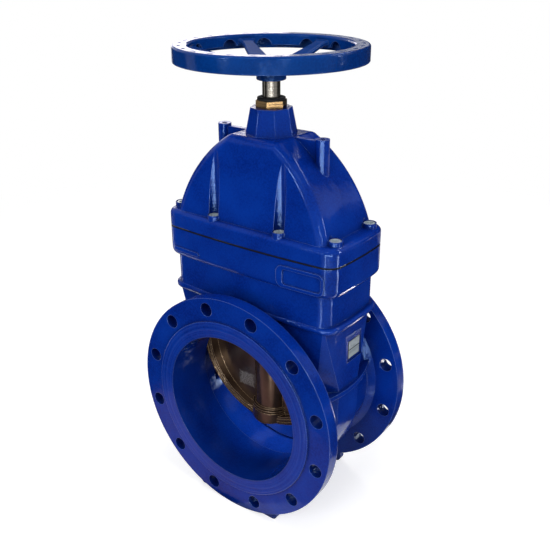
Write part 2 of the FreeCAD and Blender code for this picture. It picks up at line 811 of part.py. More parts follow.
def make_bonnet():
    """The bell-shaped bonnet with its flange, lugs and stem tower."""
    plan = cushion_path(free_sketch("bonnet_plan", "XY", bonnet_foot),
                        c.joint_half_length, c.joint_half_width)
    flange_block = rounded("bonnet_flange_block",
                           extrusion("bonnet_flange_slab", plan, c.bonnet_flange_thickness),
                           c.joint_corner, upright)
    flange = rounded("bonnet_flange", flange_block, c.bonnet_flange_round,
                     lambda edge: at_height(edge, bonnet_ledge.value))

    def arch_front(name, wall, low, high):
        """The outline seen along the bore, thinner all round by the wall."""
        radius = c.arch_radius - wall

        def half_length(height):
            rise = as_size(height) - c.arch_centre_z
            return root(radius * radius - rise * rise) - c.arch_centre_x

        return closed_path(
            free_sketch(name, "XZ"),
            [(-half_length(low), low), (half_length(low), low), (half_length(high), high),
             (-half_length(high), high)],
            {1: radius, 3: radius})

    def arch_side(name, wall, low, high):
        """The outline seen from the end, narrower upwards."""
        slope = (c.arch_foot_half_width - c.arch_top_half_width) / (c.bonnet_height - bonnet_foot)

        def half_width(height):
            return c.arch_foot_half_width - wall - (as_size(height) - bonnet_foot) * slope

        return closed_path(
            free_sketch(name, "YZ"),
            [(-half_width(low), low), (half_width(low), low), (half_width(high), high),
             (-half_width(high), high)])

    reach = c.joint_half_length
    front = arch_front("arch_front", 0.0, bonnet_foot, c.bonnet_height)
    side_view = arch_side("arch_side", 0.0, bonnet_foot, c.bonnet_height)
    arch_block = common("arch_block", [extrusion("arch_front_block", front, reach, reach),
                                       extrusion("arch_side_block", side_view, reach, reach)])
    arch = rounded("arch", arch_block, c.arch_edge_round,
                   lambda edge: not at_height(edge, bonnet_foot.value))

    boss_plan = cushion_path(free_sketch("boss_plan", "XY", bonnet_foot), c.joint_half_length,
                             c.joint_half_width, c.screw_boss_inset)
    bosses = fuse("screw_bosses", [
        cylinder(f"screw_boss_{number}", screw_head_room + c.screw_boss_wall, screw_boss_top - bonnet_foot,
                 (x, y, bonnet_foot))
        for number, (x, y) in enumerate(screw_spots)])
    parts = [flange, arch, common("bosses_in_plan", [
        bosses, extrusion("boss_room", boss_plan, screw_boss_top - bonnet_foot)])]
    for side in (-1, 1):
        parts.append(cylinder(f"lug_{'left' if side < 0 else 'right'}", c.lug_diameter / 2,
                              c.lug_top - c.lug_foot, (c.lug_x * side, 0.0, c.lug_foot)))
    parts.append(box("lug_web", (-c.lug_x, -c.lug_web_thickness / 2, c.lug_foot),
                     (c.lug_x, c.lug_web_thickness / 2, c.lug_web_top)))

    tower_low = c.bonnet_height - c.bonnet_wall
    lean = (c.tower_foot_radius - c.tower_top_radius) / (c.tower_top - c.bonnet_height)
    low_radius = c.tower_foot_radius + lean * c.bonnet_wall
    tower_sections = [
        closed_path(free_sketch(f"tower_{spot}", "XY", height), polygon_points(8, radius, 0.0))
        for spot, height, radius in (("low", tower_low, low_radius),
                                     ("high", c.tower_top, c.tower_top_radius))]
    parts.append(rounded("tower", loft("tower_block", tower_sections), c.tower_edge_round,
                         lambda edge: edge.BoundBox.ZLength > 1))
    outer = fuse("bonnet_outside", parts)

    roof = c.bonnet_height - c.bonnet_wall
    floor = bonnet_foot - PAST
    front = arch_front("hollow_front", c.bonnet_wall, floor, roof)
    side_view = arch_side("hollow_side", c.bonnet_wall, floor, roof)
    hollow = common("bonnet_hollow_block", [extrusion("hollow_front_block", front, reach, reach),
                                            extrusion("hollow_side_block", side_view, reach, reach)])
    posts = [cylinder(f"cavity_post_{number}", c.cavity_post_radius, roof - floor, (x, y, floor))
             for number, (x, y) in enumerate(screw_spots[:4])]
    hollow = cut("bonnet_hollow", hollow, posts)

    tools = [hollow,
             cylinder("bonnet_stem_hole", c.stem_diameter / 2 + c.bonnet_stem_gap, c.tower_top - roof,
                      (0.0, 0.0, roof - PAST)),
             cylinder("bearing_hole", c.bearing_bore / 2, c.tower_top - c.bearing_floor + PAST,
                      (0.0, 0.0, c.bearing_floor))]
    for number, (x, y) in enumerate(screw_spots):
        tools.append(cylinder(f"flute_{number}", c.flute_radius, c.bonnet_height - screw_boss_top,
                              (x, y, screw_boss_top)))
        tools.append(cylinder(f"screw_head_room_{number}", screw_head_room,
                              screw_boss_top - screw_seat + PAST, (x, y, screw_seat)))
        tools.append(cylinder(f"screw_hole_{number}", c.screw_diameter / 2 + c.screw_clearance,
                              c.bonnet_flange_thickness + MARGIN, (x, y, floor)))
    for side in (-1, 1):
        tools.append(cylinder(f"lug_hole_{'left' if side < 0 else 'right'}", c.lug_hole_diameter / 2,
                              c.lug_hole_depth + PAST,
                              (c.lug_x * side, 0.0, c.lug_top - c.lug_hole_depth)))
    return finish("bonnet", cut("bonnet_casting", outer, tools))


def make_gasket():
    """The flat gasket between body and bonnet."""
    plan = cushion_path(free_sketch("gasket_plan", "XY", c.joint_height),
                        c.joint_half_length, c.joint_half_width, c.gasket_inset)
    block = rounded("gasket_block", extrusion("gasket_slab", plan, c.gasket_thickness),
                    c.joint_corner - c.gasket_inset, upright)
    window_x = c.screw_end_x - c.gasket_end_land
    window_y = c.screw_side_y - c.gasket_side_land
    window = box("gasket_window", (-window_x, -window_y, c.joint_height - PAST),
                 (window_x, window_y, bonnet_foot + PAST))
    tools = [rounded("gasket_window_rounded", window, c.gasket_window_corner, upright)]
    for number, (x, y) in enumerate(screw_spots):
        tools.append(cylinder(f"gasket_hole_{number}", c.screw_diameter / 2 + c.screw_clearance,
                              c.gasket_thickness + PAST * 2, (x, y, c.joint_height - PAST)))
    return finish("bonnet_gasket", cut("gasket_sheet", block, tools))


def make_screws():
    """Eight equal socket head screws that hold the bonnet down."""
    body = new_body("screw_body")
    shank = c.screw_diameter / 2
    head = c.screw_head_diameter / 2
    edge = c.screw_head_round
    sketch = closed_path(
        body_sketch(body, "screw_section", "XZ"),
        [(0.0, -c.screw_length), (shank - edge, -c.screw_length), (shank, edge - c.screw_length),
         (shank, 0.0), (head, 0.0), (head, c.screw_head_height - edge),
         (head - edge, c.screw_head_height), (0.0, c.screw_head_height)], {5: edge})
    turn_feature(body, sketch, "screw_turn")
    socket = closed_path(
        body_sketch(body, "screw_socket_plan", "XY", c.screw_head_height),
        polygon_points(6, c.screw_socket / math.sqrt(3), 0.0))
    pocket(body, socket, "screw_socket_cut", c.screw_socket_depth)
    doc.recompute()
    return group("bonnet_screws", [moved(body.Shape, x.value, y.value, screw_seat.value)
                                   for x, y in screw_spots])


def make_stem_bearing():
    """Seal, thrust washers and split collar that hold the stem in the bonnet."""
    gap = c.bearing_gap
    outer = c.bearing_bore / 2 - gap
    stem_side = c.stem_diameter / 2 + gap
    low = c.bearing_floor
    finish("neck_seal",
           ring("neck_seal", c.stem_diameter / 2 + c.ring_gap, outer, low, low + c.bearing_seal))
    low = low + c.bearing_seal
    finish("lower_thrust_washer",
           ring("lower_thrust_washer", stem_side, outer, low, low + c.washer_thickness))
    finish("upper_thrust_washer",
           ring("upper_thrust_washer", c.stem_shaft_diameter / 2 + gap, outer,
                collar_high + c.running_gap, gland_low))
    collar = ring("thrust_collar", c.stem_groove_diameter / 2, c.collar_diameter / 2,
                  collar_low, collar_high)
    halves = []
    reach = c.collar_diameter / 2 + PAST
    near = c.collar_split / 2
    for spot, low_y, high_y in (("front", -reach, -near), ("back", near, reach)):
        half = box(f"collar_{spot}_room", (-reach, low_y, collar_low - PAST),
                   (reach, high_y, collar_high + PAST))
        halves.append(common(f"collar_{spot}", [collar, half]))
    finish("thrust_collar", gathered("collar_halves", halves))


def make_gland():
    """The brass gland bush with its sealing rings and the wiper on top."""
    body = new_body("gland_body")
    inner = c.stem_shaft_diameter / 2 + c.gland_shaft_gap
    outer = c.bearing_bore / 2 - c.gland_gap
    sketch = closed_path(
        body_sketch(body, "gland_section", "XZ"),
        [(inner, gland_low), (outer, gland_low), (outer, c.tower_top), (inner, c.tower_top)])
    turn_feature(body, sketch, "gland_turn")
    hexagon = closed_path(body_sketch(body, "gland_hex_plan", "XY", c.tower_top),
                          polygon_points(6, c.gland_hex / math.sqrt(3), DIMENSIONS["gland_turn"]))
    circle_path(hexagon, inner)
    pad(body, hexagon, "gland_hex_pad", c.gland_hex_height)
    ring_radius = c.ring_section / 2
    half_groove = c.ring_groove_width / 2
    inner_seat = c.stem_shaft_diameter / 2 + c.ring_gap
    outer_seat = c.bearing_bore / 2 - c.ring_gap
    rings = {"inner": [], "outer": []}
    places = (("outer", 0), ("inner", 1), ("outer", 2), ("inner", 3), ("inner", 5))
    for number, (where, step) in enumerate(places):
        height = gland_low + c.ring_first + c.ring_step * step
        if where == "inner":
            span = (inner - PAST, inner_seat + c.ring_section + c.ring_gap)
            centre = inner_seat + ring_radius
        else:
            span = (outer_seat - c.ring_section - c.ring_gap, outer + PAST)
            centre = outer_seat - ring_radius
        groove = closed_path(
            body_sketch(body, f"gland_groove_{number}_section", "XZ"),
            [(span[0], height - half_groove), (span[1], height - half_groove),
             (span[1], height + half_groove), (span[0], height + half_groove)])
        turn_feature(body, groove, f"gland_groove_{number}", "PartDesign::Groove")
        torus = add("Part::Torus", f"ring_{where}_{number}")
        bind(torus, "Radius1", centre)
        bind(torus, "Radius2", ring_radius)
        bind(torus, "Placement.Base.z", height)
        rings[where].append(torus)
    finish("gland_bush", body)
    finish("gland_inner_o_rings", gathered("inner_rings", rings["inner"]))
    finish("gland_outer_o_rings", gathered("outer_rings", rings["outer"]))
    wiper_low = c.tower_top + c.gland_hex_height
    wiper = new_body("wiper_body")
    edge = c.wiper_round
    side = c.wiper_diameter / 2
    high = wiper_low + c.wiper_height
    near = inner_seat
    sketch = closed_path(
        body_sketch(wiper, "wiper_section", "XZ"),
        [(near, wiper_low), (side, wiper_low), (side, high - edge), (side - edge, high), (near, high)],
        {2: edge})
    turn_feature(wiper, sketch, "wiper_turn")
    finish("wiper_ring", wiper)


def make_stem():
    """The stem: threaded part, collar groove, shaft, square and tapped hole."""
    body = new_body("stem_body")
    thread = c.stem_diameter / 2
    shaft = c.stem_shaft_diameter / 2
    groove = c.stem_groove_diameter / 2
    end = c.stem_chamfer
    sketch = closed_path(
        body_sketch(body, "stem_section", "XZ"),
        [(0.0, c.stem_bottom), (thread - end, c.stem_bottom), (thread, c.stem_bottom + end),
         (thread, collar_low), (groove, collar_low), (groove, collar_high), (shaft, collar_high),
         (shaft, c.stem_shoulder), (0.0, c.stem_shoulder)])
    turn_feature(body, sketch, "stem_turn")
    square_height = c.hub_height - c.stem_end_gap
    square = box_path(body_sketch(body, "stem_square_plan", "XY", c.stem_shoulder),
                      c.stem_square / 2, c.stem_square / 2)
    pad(body, square, "stem_square_pad", square_height)
    tap = circle_path(body_sketch(body, "stem_tap_plan", "XY", c.stem_shoulder + square_height),
                      c.wheel_bolt_diameter / 2 + c.thread_gap)
    pocket(body, tap, "stem_tap_cut", c.stem_tap_depth)
    body.Placement = FreeCAD.Placement(ORIGIN, FreeCAD.Rotation(Z_AXIS, 1))
    bind(body, "Placement.Rotation.Angle", c.spoke_turn)
    return finish("stem", body)


def make_handwheel():
    """Rim of channel section, six sloping spokes and the hub."""
    body = new_body("handwheel_body")
    side = c.wheel_diameter / 2
    inside = side - c.wheel_rim_width
    top = c.wheel_top
    wall = c.wheel_rim_wall
    edge = c.wheel_rim_round
    chamfer = c.wheel_rim_chamfer
    low = top - c.wheel_rim_height
    inner_low = top - c.wheel_rim_inner_height
    rim = closed_path(
        body_sketch(body, "rim_section", "XZ"),
        [(inside, inner_low), (inside + wall, inner_low), (inside + wall, top - wall),
         (side - wall, top - wall), (side - wall, low), (side - chamfer, low), (side, low + chamfer),
         (side, top - edge), (side - edge, top), (inside + edge, top), (inside, top - edge)],
        {7: edge, 9: edge})
    turn_feature(body, rim, "rim_turn")
    hub_low = c.stem_shoulder
    hub_high = c.stem_shoulder + c.hub_height
    hub = c.hub_diameter / 2
    hub_edge = c.hub_round
    hub_sketch = closed_path(
        body_sketch(body, "hub_section", "XZ"),
        [(0.0, hub_low), (hub - hub_edge, hub_low), (hub, hub_low + hub_edge), (hub, hub_high - hub_edge),
         (hub - hub_edge, hub_high), (0.0, hub_high)], {1: hub_edge, 3: hub_edge})
    turn_feature(body, hub_sketch, "hub_turn")

    root_radius = hub - c.spoke_sunk
    tip_radius = inside + wall / 2
    rise = (c.spoke_rim_height - c.spoke_hub_height) / (inside - hub)
    narrowing = (c.spoke_hub_width - c.spoke_rim_width) / (inside - hub)
    root_length = c.spoke_root_length

    def spoke_section(name, radius, width):
        height = c.spoke_hub_height + (radius - hub) * rise
        half = width / 2
        thick = c.spoke_thickness / 2
        off = c.spoke_edge
        return closed_path(
            body_sketch(body, name, "YZ", radius),
            [(-half, height - thick + off), (off - half, height - thick), (half - off, height - thick),
             (half, height - thick + off), (half, height + thick - off), (half - off, height + thick),
             (off - half, height + thick), (-half, height + thick - off)])

    def spoke_width(radius):
        return c.spoke_hub_width - (radius - hub) * narrowing

    straight_end = inside - root_length
    middle = inside - root_length / 3
    first = spoke_section("spoke_root", root_radius, spoke_width(root_radius))
    others = [spoke_section("spoke_waist", straight_end, spoke_width(straight_end)),
              spoke_section("spoke_flare", middle, (spoke_width(middle) * 3 + c.spoke_root_width) / 4),
              spoke_section("spoke_tip", tip_radius, c.spoke_root_width)]
    spoke = body.newObject("PartDesign::AdditiveLoft", "spoke")
    spoke.Profile = first
    spoke.Sections = others
    spoke.Ruled = True
    body.Tip = spoke
    spokes = body.newObject("PartDesign::PolarPattern", "spokes")
    spokes.Originals = [spoke]
    spokes.Axis = (hub_sketch, ["V_Axis"])
    spokes.Angle = 360
    bind(spokes, "Occurrences", c.spoke_count)
    body.Tip = spokes

    socket = box_path(body_sketch(body, "hub_socket_plan", "XY", hub_high),
                      c.stem_square / 2 + c.stem_square_gap, c.stem_square / 2 + c.stem_square_gap)
    pocket(body, socket, "hub_socket", c.hub_height + PAST)
    doc.recompute()
    hollows = []
    count = int(DIMENSIONS["spoke_count"])
    for number in range(count):
        for side_turn in (-1, 1):
            angle = 360.0 * number / count + DIMENSIONS["finger_hollow_angle"] * side_turn
            direction = FreeCAD.Vector(math.cos(math.radians(angle)), math.sin(math.radians(angle)), 0)
            name = f"finger_hollow_{number}_{'left' if side_turn > 0 else 'right'}"
            hollow = add("Part::Cylinder", name)
            hollow.Placement = FreeCAD.Placement(ORIGIN, FreeCAD.Rotation(Z_AXIS, direction))
            bind(hollow, "Radius", c.finger_hollow_radius)
            bind(hollow, "Height", wall + c.finger_hollow_sunk * 2)
            for letter, part_of in (("x", direction.x), ("y", direction.y)):
                bind(hollow, f"Placement.Base.{letter}", (inside - c.finger_hollow_sunk) * part_of)
            bind(hollow, "Placement.Base.z", inner_low - c.finger_hollow_sunk)
            hollows.append(hollow)
    wheel = cut("handwheel_casting", body, hollows)
    wheel.Placement = FreeCAD.Placement(ORIGIN, FreeCAD.Rotation(Z_AXIS, 1))
    bind(wheel, "Placement.Rotation.Angle", c.spoke_turn)
    return finish("handwheel", wheel)


def make_wheel_fixing():
    """Washer and hexagon bolt on top of the hub."""
    low = c.stem_shoulder + c.hub_height
    high = low + c.wheel_washer_thickness
    shank = c.wheel_bolt_diameter / 2
    finish("wheel_washer",
           ring("wheel_washer", shank + c.screw_clearance, c.wheel_washer_diameter / 2, low, high))
    body = new_body("wheel_bolt_body")
    hexagon = closed_path(body_sketch(body, "wheel_bolt_hex_plan", "XY", high),
                          polygon_points(6, c.wheel_bolt_hex / math.sqrt(3), 0.0))
    pad(body, hexagon, "wheel_bolt_head", c.wheel_bolt_head)
    end = c.screw_head_round
    foot = high - c.wheel_bolt_length
    sketch = closed_path(
        body_sketch(body, "wheel_bolt_section", "XZ"),
        [(0.0, foot), (shank - end, foot), (shank, foot + end), (shank, high + PAST),
         (0.0, high + PAST)])
    turn_feature(body, sketch, "wheel_bolt_shank")
    finish("wheel_bolt", body)


def make_wedge():
    """Rubber lined wedge with its brass nut and the guide shoes."""
    arch_inside = c.arch_radius - c.bonnet_wall - c.wedge_arch_gap
    arch_height = c.arch_centre_z - c.wedge_stroke

    def wedge_block(name, inset, reach):
        """The outline of the wedge as a straight block, smaller all round by the inset."""
        side = c.wedge_radius - inset
        arch = arch_inside - inset
        top = c.wedge_top - inset
        across = side + c.arch_centre_x
        turn_height = arch_height + root(arch * arch - across * across)
        top_x = root(arch * arch - (top - arch_height) * (top - arch_height)) - c.arch_centre_x
        sketch = closed_path(
            free_sketch(f"{name}_front", "XZ"),
            [(-side, 0.0), (0.0, -side), (side, 0.0), (side, turn_height), (top_x, top), (-top_x, top),
             (-side, turn_height)],
            {0: side, 1: side, 3: arch, 5: arch})
        return extrusion(name, sketch, reach, reach)

    def tapered(name, clear):
        """The room between the two seats, narrower on each side by clear."""
        low = -c.wedge_radius - MARGIN
        high = c.wedge_top + MARGIN
        sketch = closed_path(
            free_sketch(f"{name}_side", "YZ"),
            [(-seat_half_width(low, -clear), low), (seat_half_width(low, -clear), low),
             (seat_half_width(high, -clear), high), (-seat_half_width(high, -clear), high)])
        reach = c.wedge_radius + MARGIN
        return extrusion(name, sketch, reach, reach)

    far = c.joint_half_width

    def wedge_form(name, skin):
        """The whole wedge without its openings, smaller all round by the skin."""
        depth = c.seat_gap + c.wedge_bead_height + skin
        solid = common(f"{name}_block", [wedge_block(f"{name}_outline", skin, far),
                                         tapered(f"{name}_taper", depth)])
        recess = wedge_block(f"{name}_recess", c.wedge_rim - skin, far)
        web = c.wedge_web_half_width - skin
        plate = box(f"{name}_web", (-c.wedge_radius, -web, -c.wedge_radius),
                    (c.wedge_radius, web, c.wedge_top))
        rim = cut(f"{name}_rim", solid, [cut(f"{name}_hollow", recess, [plate])])
        foot_low = skin - c.wedge_radius
        tube_radius = c.wedge_tube_diameter / 2 - skin
        tube = cylinder(f"{name}_tube", tube_radius, c.wedge_top - skin - foot_low, (0.0, 0.0, foot_low))
        foot = cylinder(f"{name}_foot", c.wedge_tube_foot_diameter / 2 - skin,
                        c.wedge_tube_foot_top - skin - foot_low, (0.0, 0.0, foot_low))
        bore = cylinder(f"{name}_foot_room", c.wedge_foot_radius - skin, far * 2, (0.0, -far, 0.0), "y")
        lower = common(f"{name}_lower", [fuse(f"{name}_column", [tube, foot]), bore])
        upper = cylinder(f"{name}_upper", tube_radius, c.wedge_top - skin)
        boss_x = c.wedge_boss_half_length - skin
        boss_y = c.wedge_boss_half_width - skin
        boss = box(f"{name}_boss", (-boss_x, -boss_y, c.wedge_top - c.wedge_rim),
                   (boss_x, boss_y, c.wedge_boss_top - skin))
        return [rim, lower, upper, rounded(f"{name}_boss_rounded", boss, c.wedge_boss_round, upright)]

    def beads():
        """Two sealing beads along each face and two round the foot of the tube."""
        found = []
        outer_room = tapered("bead_room", c.seat_gap)
        for number, inset in enumerate((c.wedge_bead_first, c.wedge_bead_second)):
            middle = box(f"bead_core_{number}",
                         (-c.wedge_radius, -c.wedge_web_half_width, -c.wedge_radius),
                         (c.wedge_radius, c.wedge_web_half_width, c.wedge_top))
            band = cut(f"bead_band_{number}", wedge_block(f"bead_outer_{number}", inset, far),
                       [wedge_block(f"bead_inner_{number}", inset + c.wedge_bead_width, far), middle])
            found.append(common(f"bead_{number}", [band, outer_room]))
            low = c.wedge_tube_foot_top + c.wedge_bead_width * (1 + 2 * number)
            radius = (c.wedge_tube_foot_diameter - c.wedge_bead_width * number) / 2
            found.append(cylinder(f"foot_bead_{number}", radius, c.wedge_bead_width, (0.0, 0.0, low)))
        return found

    shaft_room = cylinder("wedge_bore", c.stem_bore / 2, c.wedge_radius + c.wedge_boss_top + PAST * 2,
                          (0.0, 0.0, -c.wedge_radius - PAST))
    slot_half = c.nut_width / 2 + c.nut_gap
    nut_slot = box("nut_slot", (-slot_half, -far, c.nut_bottom - c.nut_gap),
                   (slot_half, far, c.nut_bottom + c.nut_height + c.nut_gap))

    def end_block(name, side, start, reach, half_width, low, high):
        """A block at one end of the wedge, from its start inside out to its reach."""
        span = sorted([start * side, reach * side], key=lambda size: size.value)
        return box(name, (span[0], -half_width, low), (span[1], half_width, high))

    tongues = []
    shoe_rooms = []
    shoe_parts = []
    tongue_low = c.guide_low + c.guide_tongue_inset
    tongue_high = c.guide_high - c.guide_tongue_inset
    tongue_half = c.guide_tongue_half_width
    tongue_root = c.wedge_radius - c.wedge_rim
    shoe_root = c.guide_shoe_reach - c.guide_shoe_depth
    gap = c.shoe_gap
    shoe_inside = wedge_block("shoe_inside", c.wedge_radius + c.guide_shoe_wall - c.guide_shoe_reach, far)
    for side, label in ((-1, "left"), (1, "right")):
        tongues.append(end_block(f"tongue_{label}", side, tongue_root, guide_tongue_reach,
                                 tongue_half, tongue_low, tongue_high))
        tongue_room = end_block(f"tongue_room_{label}", side, tongue_root, guide_tongue_reach + gap,
                                tongue_half + gap, tongue_low - gap, tongue_high + gap)
        block = end_block(f"shoe_block_{label}", side, shoe_root, c.guide_shoe_reach,
                          c.guide_shoe_half_width, c.guide_low, c.guide_high)
        shoe_room = cut(f"shoe_room_{label}", block, [shoe_inside])
        shoe_rooms.append(shoe_room)
        shoe_parts.append(cut(f"shoe_{label}", shoe_room, [tongue_room]))
    core_block = cut("wedge_core_block", fuse("wedge_core_form", wedge_form("core", c.wedge_lining)),
                     shoe_rooms)
    core_form = fuse("wedge_core_tongues", [core_block] + tongues)
    outer_form = fuse("wedge_outer_form", wedge_form("outer", as_size(0.0)) + beads())
    lift = c.wedge_lift
    finish("wedge_core", cut("wedge_core_casting", core_form, [shaft_room, nut_slot]), lift)
    finish("wedge_lining",
           cut("wedge_rubber", outer_form, [core_form, shaft_room, nut_slot] + shoe_rooms), lift)
    finish("guide_shoes", gathered("guide_shoe_pair", shoe_parts), lift)

    nut = new_body("nut_body")
    plan = box_path(body_sketch(nut, "nut_plan", "XY", c.nut_bottom), c.nut_width / 2, c.nut_width / 2)
    circle_path(plan, c.stem_diameter / 2 + c.thread_gap)
    pad(nut, plan, "nut_pad", c.nut_height)
    finish("wedge_nut", nut, lift)


make_body()
make_bonnet()
make_gasket()
make_screws()
make_stem_bearing()
make_gland()
make_stem()
make_handwheel()
make_wheel_fixing()
make_wedge()
doc.recompute()

faults = [f"{item.Name} is {state}" for item in doc.Objects for state in item.State
          if state in ("Invalid", "Error")]
for name, item in NODES.items():
    if item.Shape.isNull() or not item.Shape.isValid() or not item.Shape.Solids:
        faults.append(f"{name} has no sound shape")
    else:
        print(name, len(item.Shape.Solids), round(item.Shape.Volume / 1e3, 1), "cm3")
if faults:
    raise RuntimeError("; ".join(faults))
for name, item in NODES.items():
    item.Shape.exportStep(f"parts/{name}.step")
print(len(NODES), "nodes written")
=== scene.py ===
import bpy
import json
import math
from mathutils import Matrix, Vector


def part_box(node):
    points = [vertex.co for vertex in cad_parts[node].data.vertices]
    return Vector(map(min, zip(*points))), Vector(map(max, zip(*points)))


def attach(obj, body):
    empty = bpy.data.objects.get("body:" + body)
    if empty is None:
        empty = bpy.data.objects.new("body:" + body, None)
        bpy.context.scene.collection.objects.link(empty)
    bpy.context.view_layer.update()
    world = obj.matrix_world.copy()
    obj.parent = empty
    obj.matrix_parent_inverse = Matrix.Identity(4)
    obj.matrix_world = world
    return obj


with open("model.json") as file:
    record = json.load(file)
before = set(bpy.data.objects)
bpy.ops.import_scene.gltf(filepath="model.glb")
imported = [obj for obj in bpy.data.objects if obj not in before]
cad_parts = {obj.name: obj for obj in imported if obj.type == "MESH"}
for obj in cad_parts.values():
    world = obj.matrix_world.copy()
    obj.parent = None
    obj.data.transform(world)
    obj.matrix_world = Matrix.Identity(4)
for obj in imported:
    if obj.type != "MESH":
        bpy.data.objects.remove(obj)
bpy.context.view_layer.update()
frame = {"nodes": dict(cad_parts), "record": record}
NODES = frame["nodes"]

# Places on the CAD model, in metres
BORE_HEIGHT = next(m["pos_m"][2] for m in frame["record"]["mounts"] if m["name"] == "front_bolts")
BORE_RADIUS = 0.1475
HALF_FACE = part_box("body")[1].y
WHEEL_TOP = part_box("handwheel")[1].z
SEAM_HEIGHT = (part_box("bonnet_gasket")[0].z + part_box("bonnet_gasket")[1].z) / 2
SEAM_HALF_WIDTH = 0.002

# Grip marks on top of the wheel's rim
GRIP_MARKS = 26
GRIP_RADIUS = 0.1535
GRIP_PITCH = 2 * math.pi * GRIP_RADIUS / GRIP_MARKS
GRIP_HALF_LENGTH = 0.006
GRIP_HALF_WIDTH = 0.0026
GRIP_DEPTH = 0.0014

# Paint: how far it rounds edges and gives them a painted highlight, how far its painted shade
# reaches into corners, and the height of its waves, peel, lumps and grain
EDGE_RADIUS = 0.0022
CORNER_SHADE_REACH = 0.035
CAST_WAVE = 0.0014
PAINT_PEEL = 0.00018
CORNER_LUMPS = 0.0011
PAINT_GRAIN = 0.000012

# Worn patch on the wedge's disc, as X and Z
PATCH_CENTRE = (-0.056, 0.211)
PATCH_HALF_SIZE = (0.019, 0.015)
DISC_HALF_THICKNESS = 0.0145

# Label in the pocket of the side: its edges along Y and Z, with each band's edges along Z
POCKET_FLOOR = 0.16955
FOIL_THICKNESS = 0.0005
FOIL_LIFT = 0.0003
LABEL_Y = (0.0035, 0.0410)
LABEL_Z = (0.3270, 0.3630)
BAND_Y = (0.0045, 0.0400)
BAND_Z = {"label_band_low": (0.3280, 0.3440), "label_band_high": (0.3460, 0.3620)}

# The camera of the photograph
CAMERA_PLACE = Vector((0.7920, -1.0279, 1.0280))
CAMERA_AZIMUTH = math.radians(37.41)
CAMERA_ELEVATION = math.radians(23.94)
CAMERA_ROLL = math.radians(-0.29)
CAMERA_LENS = 49.38
SENSOR = 36.0

# Stage
FLOOR_HALF_SIZE = 40.0
FLOOR_TONE = (0.62, 0.62, 0.63, 1.0)
FLOOR_GLOW = 0.62
SHADOW_FADE = (0.7, 2.2)
WORLD_FILL = 0.28
SCREEN_TONES = ((0.03, 0.03, 0.032, 1.0), (0.05, 0.05, 0.053, 1.0))
MIDDLE = (0.0, 0.0, 0.45)
WHITE = (1.0, 1.0, 1.0)


# Shader building

